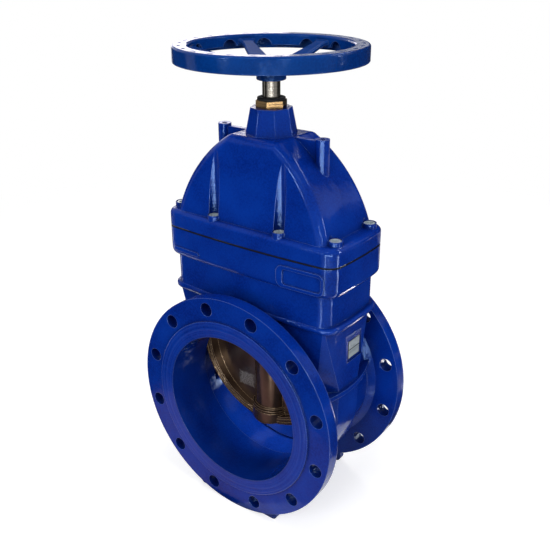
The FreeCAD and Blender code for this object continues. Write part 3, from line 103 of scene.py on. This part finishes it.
class Shader:
    """A material and short ways to add nodes to it."""

    def __init__(self, name):
        self.material = bpy.data.materials.new(name)
        self.material.use_nodes = True
        self.tree = self.material.node_tree
        self.surface = self.tree.nodes["Principled BSDF"]
        self.place = self.node("ShaderNodeTexCoord").outputs["Object"]

    def node(self, kind, **settings):
        item = self.tree.nodes.new(kind)
        for key, value in settings.items():
            setattr(item, key, value)
        return item

    def link(self, source, target):
        self.tree.links.new(source, target)

    def feed(self, socket, value):
        """Links a socket, or writes a plain number or colour to it."""
        if isinstance(value, bpy.types.NodeSocket):
            self.link(value, socket)
        else:
            socket.default_value = value

    def set(self, **values):
        """Sets inputs of the surface, each named with underscores for its spaces."""
        for key, value in values.items():
            self.feed(self.surface.inputs[key.replace("_", " ")], value)

    def maths(self, operation, first, second=0.0):
        item = self.node("ShaderNodeMath", operation=operation)
        for socket, value in zip(item.inputs, (first, second)):
            self.feed(socket, value)
        return item.outputs[0]

    def parts(self):
        """The X, Y and Z of the shaded point, in the node's own coordinates."""
        item = self.node("ShaderNodeSeparateXYZ")
        self.link(self.place, item.inputs[0])
        return item.outputs

    def noise(self, scale, detail=3.0, roughness=0.5, stretch=None):
        item = self.node("ShaderNodeTexNoise")
        item.inputs["Scale"].default_value = scale
        item.inputs["Detail"].default_value = detail
        item.inputs["Roughness"].default_value = roughness
        source = self.place
        if stretch:
            mapping = self.node("ShaderNodeMapping")
            mapping.inputs["Scale"].default_value = stretch
            self.link(self.place, mapping.inputs["Vector"])
            source = mapping.outputs["Vector"]
        self.link(source, item.inputs["Vector"])
        return item.outputs["Fac"]

    def rings(self, along, scale):
        """Uneven bands across one coordinate."""
        item = self.node("ShaderNodeTexNoise", noise_dimensions="1D")
        item.inputs["Scale"].default_value = scale
        item.inputs["Detail"].default_value = 2.0
        self.link(along, item.inputs["W"])
        return item.outputs["Fac"]

    def ramp(self, value, low, high, start=0.0, end=1.0):
        """Runs from low to high while value runs from start to end."""
        item = self.node("ShaderNodeMapRange")
        limits = {"From Min": start, "From Max": end, "To Min": low, "To Max": high}
        for key, number in limits.items():
            item.inputs[key].default_value = number
        self.link(value, item.inputs["Value"])
        return item.outputs["Result"]

    def mix(self, factor, first, second):
        item = self.node("ShaderNodeMix", data_type="RGBA")
        self.feed(item.inputs["Factor"], factor)
        self.feed(item.inputs["A"], first)
        self.feed(item.inputs["B"], second)
        return item.outputs["Result"]

    def blend(self, factor, first, second):
        """Mixes two numbers. The mixing node takes them at its inputs 0, 2 and 3."""
        item = self.node("ShaderNodeMix", data_type="FLOAT")
        self.feed(item.inputs[0], factor)
        self.feed(item.inputs[2], first)
        self.feed(item.inputs[3], second)
        return item.outputs[0]

    def round_edges(self, radius):
        """A normal that turns smoothly over sharp edges."""
        item = self.node("ShaderNodeBevel", samples=6)
        item.inputs["Radius"].default_value = radius
        return item.outputs["Normal"]

    def bump(self, height, distance, normal, strength=1.0):
        item = self.node("ShaderNodeBump")
        item.inputs["Distance"].default_value = distance
        self.feed(item.inputs["Strength"], strength)
        self.link(height, item.inputs["Height"])
        self.link(normal, item.inputs["Normal"])
        return item.outputs["Normal"]

    def edge(self, rounded):
        """1 along the edges, where the rounded normal leaves the true one, and 0 elsewhere."""
        item = self.node("ShaderNodeVectorMath", operation="DOT_PRODUCT")
        self.link(rounded, item.inputs[0])
        self.link(self.node("ShaderNodeNewGeometry").outputs["Normal"], item.inputs[1])
        return self.ramp(item.outputs["Value"], 1.0, 0.0, 0.72, 0.985)

    def crevice(self, distance):
        """1 in the open and less in corners."""
        item = self.node("ShaderNodeAmbientOcclusion", samples=6)
        item.inputs["Distance"].default_value = distance
        return item.outputs["AO"]


def rgb(red, green, blue):
    """A colour written as the eye sees it, 0 to 255, as linear values."""
    def linear(value):
        value = value / 255
        return value / 12.92 if value <= 0.04045 else ((value + 0.055) / 1.055) ** 2.4
    return (linear(red), linear(green), linear(blue), 1.0)


def scaled(colour, factor):
    """The same colour, darker or lighter."""
    return tuple(factor * part for part in colour[:3]) + (1.0,)


def radius_about(shader, first, second):
    """Distance from an axis, from the two coordinates across it."""
    first_square = shader.maths("MULTIPLY", first, first)
    second_square = shader.maths("MULTIPLY", second, second)
    return shader.maths("SQRT", shader.maths("ADD", first_square, second_square))


# Materials

def painted(name, deep, light, cast=1.0):
    """Thick glossy epoxy over a sand casting, with painted shade in its corners and a painted
    highlight along its edges, as a shader with its normal and colour still open.
    """
    shader = Shader(name)
    thick = shader.noise(11.0, detail=4.0)
    colour = shader.mix(shader.ramp(thick, 0.0, 1.0, 0.35, 0.65), deep, light)
    fine = shader.ramp(shader.noise(300.0, detail=3.0), 0.0, 0.5, 0.35, 0.75)
    colour = shader.mix(fine, colour, scaled(light, 1.35))
    open_air = shader.crevice(CORNER_SHADE_REACH)
    # Painted shade: the colour darkens to a deep dark blue in corners and recesses, where shade
    # falls
    painted_corner_shade = shader.ramp(open_air, 0.95, 0.0, 0.3, 0.92)
    colour = shader.mix(painted_corner_shade, colour, scaled(deep, 0.35))
    normal = shader.round_edges(EDGE_RADIUS)
    # Edges turn lighter where the paint runs thin, and a painted highlight is laid on them as well,
    # away from the corners
    thin_paint_and_highlight = shader.maths("MULTIPLY", shader.edge(normal), shader.ramp(open_air, 0.0, 0.5, 0.6, 0.95))
    colour = shader.mix(thin_paint_and_highlight, colour, rgb(118, 150, 220))
    normal = shader.bump(shader.noise(26.0, detail=2.0), CAST_WAVE * cast, normal)
    normal = shader.bump(shader.noise(160.0, detail=2.0, roughness=0.4), PAINT_PEEL, normal)
    pooled = shader.ramp(open_air, 1.0, 0.0, 0.55, 0.93)
    normal = shader.bump(shader.noise(210.0, detail=1.0), CORNER_LUMPS * cast, normal, pooled)
    normal = shader.bump(shader.noise(700.0, detail=1.0), PAINT_GRAIN, normal)
    shader.set(Base_Color=colour, Roughness=shader.ramp(shader.noise(60.0, detail=5.0), 0.08, 0.17))
    shader.set(Specular_IOR_Level=0.16, Specular_Tint=(0.35, 0.6, 1.0, 1.0))
    return shader, normal, colour


def cast_blue():
    """The castings, with turned rings on the raised faces, painted shade in the bore that darkens
    towards its bottom, and a dark seam.
    """
    shader, normal, colour = painted("blue_cast", rgb(3, 34, 122), rgb(6, 51, 150))
    x, y, z = shader.parts()
    away = radius_about(shader, x, shader.maths("SUBTRACT", z, BORE_HEIGHT))
    from_middle = shader.maths("ABSOLUTE", y)
    on_face = shader.ramp(from_middle, 0.0, 1.0, HALF_FACE - 0.0006, HALF_FACE - 0.0002)
    outside = shader.ramp(away, 0.0, 1.0, BORE_RADIUS - 0.0005, BORE_RADIUS + 0.0005)
    on_face = shader.maths("MULTIPLY", on_face, outside)
    broad = shader.rings(away, 260.0)
    narrow = shader.rings(away, 900.0)
    height = shader.maths("ADD", broad, shader.maths("MULTIPLY", narrow, 0.35))
    normal = shader.bump(height, 0.0007, normal, on_face)
    bright = shader.maths("MULTIPLY", on_face, shader.ramp(height, 0.0, 0.5, 0.5, 0.9))
    colour = shader.mix(bright, colour, rgb(34, 70, 168))
    # Painted shade inside the bore: low runs from the darkest shade at the bore's bottom to a
    # lighter one higher up
    painted_bore_shade = shader.ramp(away, 0.7, 0.0, BORE_RADIUS - 0.003, BORE_RADIUS + 0.004)
    low = shader.ramp(z, 0.0, 1.0, BORE_HEIGHT - 0.8 * BORE_RADIUS, BORE_HEIGHT - 0.2 * BORE_RADIUS)
    colour = shader.mix(painted_bore_shade, colour, shader.mix(low, rgb(1, 12, 46), rgb(2, 26, 90)))
    from_seam = shader.maths("ABSOLUTE", shader.maths("SUBTRACT", z, SEAM_HEIGHT))
    seam = shader.ramp(from_seam, 0.9, 0.0, SEAM_HALF_WIDTH - 0.0003, SEAM_HALF_WIDTH + 0.0004)
    colour = shader.mix(seam, colour, rgb(4, 8, 30))
    shader.set(Base_Color=colour, Normal=normal)
    return shader.material


def wheel_blue():
    """The wheel, with small cast grip marks on top of the rim, which are duller than the rest."""
    shader, normal, colour = painted("blue_wheel", rgb(2, 40, 106), rgb(3, 54, 127), cast=0.6)
    x, y, z = shader.parts()
    away = radius_about(shader, x, y)
    turn = shader.maths("ARCTAN2", y, x)
    share = shader.maths("FRACT", shader.maths("MULTIPLY", turn, GRIP_MARKS / (2 * math.pi)))
    from_mark = shader.maths("SUBTRACT", share, 0.5)
    along = shader.maths("MULTIPLY", from_mark, GRIP_PITCH / GRIP_HALF_LENGTH)
    across = shader.maths("DIVIDE", shader.maths("SUBTRACT", away, GRIP_RADIUS), GRIP_HALF_WIDTH)
    spread = radius_about(shader, along, across)
    mark = shader.ramp(spread, 1.0, 0.0, 0.7, 1.25)
    on_top = shader.ramp(z, 0.0, 1.0, WHEEL_TOP - 0.0022, WHEEL_TOP - 0.0012)
    mark = shader.maths("MULTIPLY", mark, on_top)
    normal = shader.bump(mark, GRIP_DEPTH, normal)
    colour = shader.mix(shader.maths("MULTIPLY", mark, 0.6), colour, rgb(0, 16, 62))
    shader.set(Base_Color=colour, Normal=normal, Roughness=shader.blend(mark, 0.15, 0.6))
    return shader.material


def brown_rubber():
    """Moulded rubber with pale edges, which are a painted highlight, and a speckled grey patch
    beside the stem tube.
    """
    shader = Shader("brown_rubber")
    cloud = shader.noise(22.0, detail=5.0)
    colour = shader.mix(shader.ramp(cloud, 0.0, 1.0, 0.3, 0.7), rgb(38, 28, 23), rgb(60, 45, 37))
    x, y, z = shader.parts()
    shares = []
    for along, centre, half_size in zip((x, z), PATCH_CENTRE, PATCH_HALF_SIZE):
        share = shader.maths("DIVIDE", shader.maths("SUBTRACT", along, centre), half_size)
        shares.append(shader.maths("ABSOLUTE", share))
    spread = shader.maths("MAXIMUM", *shares)
    ragged = shader.ramp(shader.noise(160.0, detail=4.0), -0.25, 0.25)
    patch = shader.ramp(shader.maths("ADD", spread, ragged), 0.8, 0.0, 0.75, 1.1)
    from_middle = shader.maths("ABSOLUTE", y)
    flat = shader.ramp(from_middle, 1.0, 0.0, DISC_HALF_THICKNESS, DISC_HALF_THICKNESS + 0.0015)
    patch = shader.maths("MULTIPLY", patch, flat)
    speckle = shader.ramp(shader.noise(420.0, detail=3.0), 0.35, 1.0, 0.4, 0.55)
    patch = shader.maths("MULTIPLY", patch, speckle)
    colour = shader.mix(patch, colour, rgb(128, 122, 116))
    grain = shader.noise(900.0, detail=3.0)
    flow = shader.noise(60.0, detail=3.0, stretch=(1.0, 1.0, 0.2))
    normal = shader.round_edges(0.0016)
    # Painted highlight: the edges are lightened to a pale gold, as if they caught the light
    painted_edge_highlight = shader.maths("MULTIPLY", shader.edge(normal), 0.55)
    colour = shader.mix(painted_edge_highlight, colour, rgb(196, 166, 128))
    normal = shader.bump(flow, 0.00015, normal)
    normal = shader.bump(grain, 0.00002, normal)
    finish = shader.ramp(shader.noise(45.0, detail=4.0), 0.14, 0.26)
    shader.set(Base_Color=colour, Roughness=finish, Normal=normal)
    shader.set(Specular_IOR_Level=0.5, Specular_Tint=(1.0, 0.74, 0.5, 1.0))
    return shader.material


def black_rubber():
    """Seals, the gasket and the label's backing."""
    shader = Shader("black_rubber")
    colour = shader.mix(shader.noise(120.0, detail=4.0), rgb(12, 13, 16), rgb(34, 35, 38))
    normal = shader.bump(shader.noise(1400.0, detail=2.0), 0.00004, shader.round_edges(0.0006))
    finish = shader.ramp(shader.noise(240.0), 0.55, 0.75)
    shader.set(Base_Color=colour, Roughness=finish, Normal=normal, Specular_IOR_Level=0.06)
    return shader.material


def turned_metal(name, light, dark, finish, pitch):
    """Metal turned about the stem axis, with fine rings and small stains."""
    shader = Shader(name)
    rings = shader.rings(shader.parts()["Z"], 1.0 / pitch)
    streak = shader.noise(24.0, detail=6.0, stretch=(1.0, 1.0, 30.0))
    colour = shader.mix(shader.ramp(streak, 0.0, 1.0, 0.3, 0.7), dark, light)
    stain = shader.ramp(shader.noise(90.0, detail=5.0), 0.0, 0.5, 0.55, 0.8)
    colour = shader.mix(stain, colour, scaled(dark, 0.55))
    normal = shader.bump(rings, 0.000004, shader.round_edges(0.0007))
    normal = shader.bump(shader.noise(120.0, detail=2.0), 0.00002, normal)
    shader.set(Base_Color=colour, Normal=normal, Metallic=1.0)
    shader.set(Roughness=shader.ramp(streak, finish, finish + 0.1))
    return shader.material


def plated_steel():
    """Zinc plate with a dull bloom, on screws, washer and bolt."""
    shader = Shader("plated_steel")
    cloud = shader.noise(240.0, detail=4.0)
    colour = shader.mix(cloud, rgb(168, 182, 190), rgb(222, 230, 230))
    normal = shader.bump(shader.noise(1500.0, detail=3.0), 0.00003, shader.round_edges(0.0006))
    finish = shader.ramp(cloud, 0.22, 0.4)
    shader.set(Base_Color=colour, Roughness=finish, Normal=normal, Metallic=0.5)
    return shader.material


def bearing_plastic(name, light, dark):
    """Plain engineering plastic of washers and guide shoes."""
    shader = Shader(name)
    colour = shader.mix(shader.noise(60.0, detail=4.0), dark, light)
    normal = shader.bump(shader.noise(800.0, detail=2.0), 0.00003, shader.round_edges(0.0005))
    finish = shader.ramp(shader.noise(150.0), 0.35, 0.5)
    shader.set(Base_Color=colour, Roughness=finish, Normal=normal)
    return shader.material


def grey_iron():
    """Bare cast iron of the wedge's core."""
    shader = Shader("grey_iron")
    cloud = shader.noise(50.0, detail=6.0, roughness=0.7)
    colour = shader.mix(cloud, rgb(70, 68, 66), rgb(120, 114, 108))
    grain = shader.noise(350.0, detail=5.0, roughness=0.7)
    normal = shader.bump(grain, 0.0003, shader.round_edges(0.001))
    shader.set(Base_Color=colour, Roughness=0.6, Normal=normal, Metallic=0.8)
    return shader.material


def label_foil():
    """Brushed foil of the blank label, clouded in places."""
    shader = Shader("label_foil")
    brushed = shader.noise(40.0, detail=5.0, stretch=(1.0, 0.06, 1.0))
    cloud = shader.noise(130.0, detail=5.0)
    tone = shader.ramp(brushed, 0.0, 1.0, 0.3, 0.7)
    colour = shader.mix(tone, rgb(112, 124, 132), rgb(168, 178, 182))
    colour = shader.mix(shader.ramp(cloud, 0.0, 0.6, 0.55, 0.75), colour, rgb(88, 96, 92))
    normal = shader.bump(brushed, 0.00004, shader.round_edges(0.0003))
    finish = shader.ramp(cloud, 0.4, 0.6)
    shader.set(Base_Color=colour, Roughness=finish, Normal=normal, Metallic=0.15)
    return shader.material


MATERIALS = {
    "blue_cast": cast_blue(),
    "blue_wheel": wheel_blue(),
    "brown_rubber": brown_rubber(),
    "black_rubber": black_rubber(),
    "brass": turned_metal("brass", rgb(150, 124, 88), rgb(98, 76, 48), 0.2, 0.0006),
    "stainless_steel": turned_metal("stainless_steel", rgb(124, 120, 114), rgb(104, 100, 94),
                                    0.12, 0.0011),
    "plated_steel": plated_steel(),
    "washer_plastic": bearing_plastic("washer_plastic", rgb(206, 202, 186), rgb(178, 172, 156)),
    "shoe_plastic": bearing_plastic("shoe_plastic", rgb(222, 220, 212), rgb(196, 192, 182)),
    "grey_iron": grey_iron(),
    "label_foil": label_foil(),
}
FINISHED_NODES = {
    "blue_cast": ("body", "bonnet"),
    "blue_wheel": ("handwheel",),
    "brown_rubber": ("wedge_lining",),
    "black_rubber": ("bonnet_gasket", "neck_seal", "gland_inner_o_rings", "gland_outer_o_rings",
                     "wiper_ring"),
    "brass": ("wedge_nut", "gland_bush", "thrust_collar"),
    "stainless_steel": ("stem",),
    "plated_steel": ("bonnet_screws", "wheel_washer", "wheel_bolt"),
    "washer_plastic": ("lower_thrust_washer", "upper_thrust_washer"),
    "shoe_plastic": ("guide_shoes",),
    "grey_iron": ("wedge_core",),
}


def dress_nodes():
    """Gives every CAD node its material."""
    for finish, names in FINISHED_NODES.items():
        for name in names:
            dress(NODES[name], MATERIALS[finish])


def dress(node, material):
    for spot in node.material_slots:
        spot.material = material
    if not node.material_slots:
        node.data.materials.append(material)


# Pieces that only the scene has

def plate(name, inner_x, y_edges, z_edges, material):
    """A thin box of the label, which moves with the housing."""
    corners = [Vector((x, y, z))
               for x in (inner_x, inner_x + FOIL_THICKNESS) for y in y_edges for z in z_edges]
    faces = [(0, 1, 3, 2), (4, 6, 7, 5), (0, 4, 5, 1), (2, 3, 7, 6), (0, 2, 6, 4), (1, 5, 7, 3)]
    mesh = bpy.data.meshes.new(name)
    mesh.from_pydata(corners, [], faces)
    mesh.materials.append(MATERIALS[material])
    item = bpy.data.objects.new(name, mesh)
    bpy.context.scene.collection.objects.link(item)
    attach(item, "housing")


def label():
    """A blank label of two pale bands on a dark backing, in the shallow pocket of the side."""
    plate("label_backing", POCKET_FLOOR, LABEL_Y, LABEL_Z, "black_rubber")
    for name, z_edges in BAND_Z.items():
        plate(name, POCKET_FLOOR + FOIL_LIFT, BAND_Y, z_edges, "label_foil")


# Stage

def sheet(name, size):
    """A flat rectangle at the origin, linked to the scene."""
    x, y = size[0] / 2, size[1] / 2
    mesh = bpy.data.meshes.new(name)
    mesh.from_pydata([(-x, -y, 0), (x, -y, 0), (x, y, 0), (-x, y, 0)], [], [(0, 1, 2, 3)])
    item = bpy.data.objects.new(name, mesh)
    bpy.context.scene.collection.objects.link(item)
    return item


def aim(item, place, target):
    """Puts a lamp, card or screen in its place and turns its front towards the target."""
    item.location = place
    item.rotation_mode = "QUATERNION"
    item.rotation_quaternion = (Vector(target) - Vector(place)).to_track_quat("-Z", "Y")


def stage():
    """A pale floor that shows white, with the shadow of the valve kept on it."""
    floor = sheet("floor", (2 * FLOOR_HALF_SIZE, 2 * FLOOR_HALF_SIZE))
    shader = Shader("floor")
    shader.set(Base_Color=FLOOR_TONE, Roughness=0.9, Specular_IOR_Level=0.0)
    glow = shader.node("ShaderNodeEmission")
    rays = shader.node("ShaderNodeLightPath").outputs
    seen = shader.maths("MAXIMUM", rays["Is Glossy Ray"], rays["Is Transmission Ray"])
    seen = shader.maths("MAXIMUM", rays["Is Camera Ray"], seen)
    x, y = shader.parts()[:2]
    away = radius_about(shader, x, y)
    far = shader.ramp(away, 0.0, 1.0, *SHADOW_FADE)
    shader.link(shader.maths("MULTIPLY", seen, FLOOR_GLOW), glow.inputs["Strength"])
    near = shader.node("ShaderNodeAddShader")
    shader.link(shader.surface.outputs[0], near.inputs[0])
    shader.link(glow.outputs[0], near.inputs[1])
    white = shader.node("ShaderNodeEmission")
    shader.link(seen, white.inputs["Strength"])
    both = shader.node("ShaderNodeMixShader")
    shader.link(shader.maths("MULTIPLY", far, seen), both.inputs[0])
    shader.link(near.outputs[0], both.inputs[1])
    shader.link(white.outputs[0], both.inputs[2])
    shader.link(both.outputs[0], shader.tree.nodes["Material Output"].inputs["Surface"])
    floor.data.materials.append(shader.material)


def studio_world():
    """White to the camera and in reflections, and a soft fill for everything else."""
    world = bpy.data.worlds.new("studio")
    bpy.context.scene.world = world
    world.use_nodes = True
    tree = world.node_tree
    back = tree.nodes["Background"]
    rays = tree.nodes.new("ShaderNodeLightPath")
    seen = tree.nodes.new("ShaderNodeMath")
    seen.operation = "MAXIMUM"
    more = tree.nodes.new("ShaderNodeMath")
    more.operation = "MAXIMUM"
    tree.links.new(rays.outputs["Is Camera Ray"], seen.inputs[0])
    tree.links.new(rays.outputs["Is Glossy Ray"], more.inputs[0])
    tree.links.new(rays.outputs["Is Transmission Ray"], more.inputs[1])
    tree.links.new(more.outputs[0], seen.inputs[1])
    level = tree.nodes.new("ShaderNodeMapRange")
    level.inputs["To Min"].default_value = WORLD_FILL
    tree.links.new(seen.outputs[0], level.inputs["Value"])
    tree.links.new(level.outputs["Result"], back.inputs["Strength"])
    back.inputs["Color"].default_value = WHITE + (1.0,)


def lamp(name, place, target, size, power, tint=WHITE):
    """A soft rectangular lamp that the camera doesn't see."""
    data = bpy.data.lights.new(name, "AREA")
    data.shape = "RECTANGLE"
    data.size, data.size_y = size
    data.energy = power
    data.color = tint
    item = bpy.data.objects.new(name, data)
    item.visible_camera = False
    aim(item, place, target)
    bpy.context.scene.collection.objects.link(item)
    return item


def card(name, place, target, size, radiance, tint=WHITE):
    """A reflector that only shows in reflections and adds no light of its own to the colours."""
    item = lamp(name, place, target, size, radiance * math.pi * size[0] * size[1], tint)
    item.visible_diffuse = False
    item.visible_transmission = False
    return item


def flag(name, place, target, size):
    """A dark screen of the studio, seen only in reflections."""
    item = sheet(name, size)
    aim(item, place, target)
    shader = Shader(name)
    tone = shader.mix(shader.noise(8.0), *SCREEN_TONES)
    shader.set(Base_Color=tone, Roughness=0.9, Specular_IOR_Level=0.0)
    item.data.materials.append(shader.material)
    item.visible_camera = False
    item.visible_diffuse = False
    item.visible_shadow = False
    item.visible_transmission = False
    return item


def lay_flat(item, azimuth):
    """Lays a screen or card on the floor, face up, with its height along a compass angle."""
    turn = Matrix.Rotation(math.radians(azimuth - 90), 3, "Z")
    item.rotation_quaternion = (turn @ Matrix.Rotation(math.pi, 3, "Y")).to_quaternion()


def around(azimuth, distance, height):
    """A place at a compass angle about the valve, in degrees from +X."""
    angle = math.radians(azimuth)
    return (distance * math.cos(angle), distance * math.sin(angle), height)


# Soft lamps aimed at the middle: place, size, power in watts
LAMPS = {
    "key": ((0.5, -2.4, 2.0), (0.9, 1.2), 30.0),
    "right_fill": ((2.2, -0.6, 1.3), (0.8, 1.4), 15.0),
    "left_fill": ((-1.9, -1.6, 1.5), (0.8, 1.2), 9.0),
    "top": ((0.2, -0.2, 2.8), (1.0, 1.0), 14.0),
    "back_left": ((-1.5, 2.0, 1.9), (1.2, 1.2), 14.0),
    "back_right": ((1.7, 1.9, 1.4), (1.2, 1.2), 14.0),
}
# Upright strips that the edges mirror: compass angle, distance, low end, high end, width, radiance
STRIPS = {
    "low_strip_left": (186, 1.15, 0.0, 0.2, 0.20, 4.0),
    "low_strip_front": (-76, 1.15, 0.0, 0.40, 0.14, 24.0),
    "low_strip_right": (8, 1.15, 0.0, 0.2, 0.16, 26.0),
    "high_strip_left": (-103, 1.4, 0.76, 1.05, 0.12, 56.0),
    "high_strip_front": (-37, 1.4, 0.76, 1.05, 0.12, 34.0),
    "high_strip_right": (28, 1.4, 0.76, 1.05, 0.12, 46.0),
    "port_glare": (51, 0.5, 0.05, 0.16, 0.05, 40.0),
}
# Strips on the floor: compass angle, distance, length, radiance
FLOOR_STRIPS = {
    "floor_strip_left": (186, 0.72, 0.7, 3.0),
    "floor_strip_front": (-68, 0.78, 0.6, 26.0),
    "floor_strip_right": (6, 0.72, 0.7, 12.0),
}
FLOOR_STRIP_WIDTH = 0.10
FLOOR_STRIP_LIFT = 0.004
# Dark screens that keep broad faces clean: place, height aimed at on the stem axis, size
FLAGS = {
    "flag_front": (around(-127, 2.3, 0.65), 0.65, (1.5, 1.3)),
    "flag_behind": ((-0.9, 2.5, 0.56), 0.56, (2.8, 1.1)),
    "flag_high": ((-1.7, 2.5, 2.05), 0.66, (1.9, 1.3)),
    "flag_port": ((-0.4, 0.8, 0.32), 0.32, (1.1, 0.64)),
    "flag_port_high": (around(80, 1.0, 1.05), 1.05, (1.0, 0.8)),
    "flag_left": ((-2.6, 0.2, 0.55), 0.55, (2.4, 1.1)),
    "flag_right": ((1.8, 2.1, 0.55), 0.55, (3.0, 1.1)),
}
# Dark screens on the floor: compass angle, distance, size
FLOOR_FLAGS = {
    "floor_flag_front": (-128, 1.1, (1.1, 2.0)),
    "floor_flag_right": (42, 1.15, (1.3, 1.7)),
    "floor_flag_left": (180, 1.2, (1.4, 2.0)),
    "floor_flag_back": (122, 1.35, (1.7, 2.0)),
}
FLOOR_FLAG_LIFT = 0.002


def lights():
    """Soft lamps that no gloss mirrors, with a small one that shines in at the rear port."""
    for name, (place, size, power) in LAMPS.items():
        lamp(name, place, MIDDLE, size, power).visible_glossy = False
    through = lamp("through_port", (-0.12, 0.52, 0.49), (-0.04, 0.01, 0.08), (0.12, 0.12), 0.25)
    through.visible_glossy = False
    through.data.spread = math.radians(36)


def cards():
    """Bright strips that the gloss mirrors on edges, and a warm patch for the front flange."""
    for name, (azimuth, distance, low, high, width, radiance) in STRIPS.items():
        height = (low + high) / 2
        place = around(azimuth, distance, height)
        card(name, place, (0.0, 0.0, height), (width, high - low), radiance)
    for name, (azimuth, distance, length, radiance) in FLOOR_STRIPS.items():
        place = around(azimuth, distance, FLOOR_STRIP_LIFT)
        lay_flat(card(name, place, MIDDLE, (FLOOR_STRIP_WIDTH, length), radiance), azimuth)
    warm = card("warm_floor", (-0.02, -0.28, 0.003), MIDDLE, (0.8, 0.28), 1.0, (1.0, 0.6, 0.7))
    lay_flat(warm, 90)
    card("stem_glare", around(-58, 1.05, 0.36), (0.0, 0.0, 0.36), (1.2, 0.28), 27.0)
    card("wheel_glare", around(-54, 1.2, 0.62), (0.0, 0.0, 0.62), (0.5, 0.16), 5.0)
    card("over_front", (0.1, -1.9, 2.5), MIDDLE, (2.2, 0.12), 22.0)
    card("over_back", (1.2, 1.5, 2.5), MIDDLE, (1.6, 0.12), 20.0)
    card("rim_glare", (-1.75, 1.45, 1.12), (0.0, 0.0, 0.87), (1.2, 0.42), 2.6, (1.0, 0.93, 1.0))


def flags():
    """Dark screens that the gloss mirrors on its broad faces."""
    for name, (place, height, size) in FLAGS.items():
        flag(name, place, (0.0, 0.0, height), size)
    for name, (azimuth, distance, size) in FLOOR_FLAGS.items():
        lay_flat(flag(name, around(azimuth, distance, FLOOR_FLAG_LIFT), MIDDLE, size), azimuth)


def camera():
    """The camera that took the photograph, as it was solved from the front flange."""
    data = bpy.data.cameras.new("camera")
    data.sensor_width = SENSOR
    data.sensor_fit = "HORIZONTAL"
    data.lens = CAMERA_LENS
    item = bpy.data.objects.new("camera", data)
    item.location = CAMERA_PLACE
    forward = Vector((-math.sin(CAMERA_AZIMUTH) * math.cos(CAMERA_ELEVATION),
                      math.cos(CAMERA_AZIMUTH) * math.cos(CAMERA_ELEVATION),
                      -math.sin(CAMERA_ELEVATION)))
    turn = forward.to_track_quat("-Z", "Y").to_matrix() @ Matrix.Rotation(CAMERA_ROLL, 3, "Z")
    item.rotation_mode = "QUATERNION"
    item.rotation_quaternion = turn.to_quaternion()
    bpy.context.scene.collection.objects.link(item)
    bpy.context.scene.camera = item


dress_nodes()
label()
stage()
studio_world()
lights()
cards()
flags()
camera()
bpy.context.scene.view_settings.view_transform = "Standard"
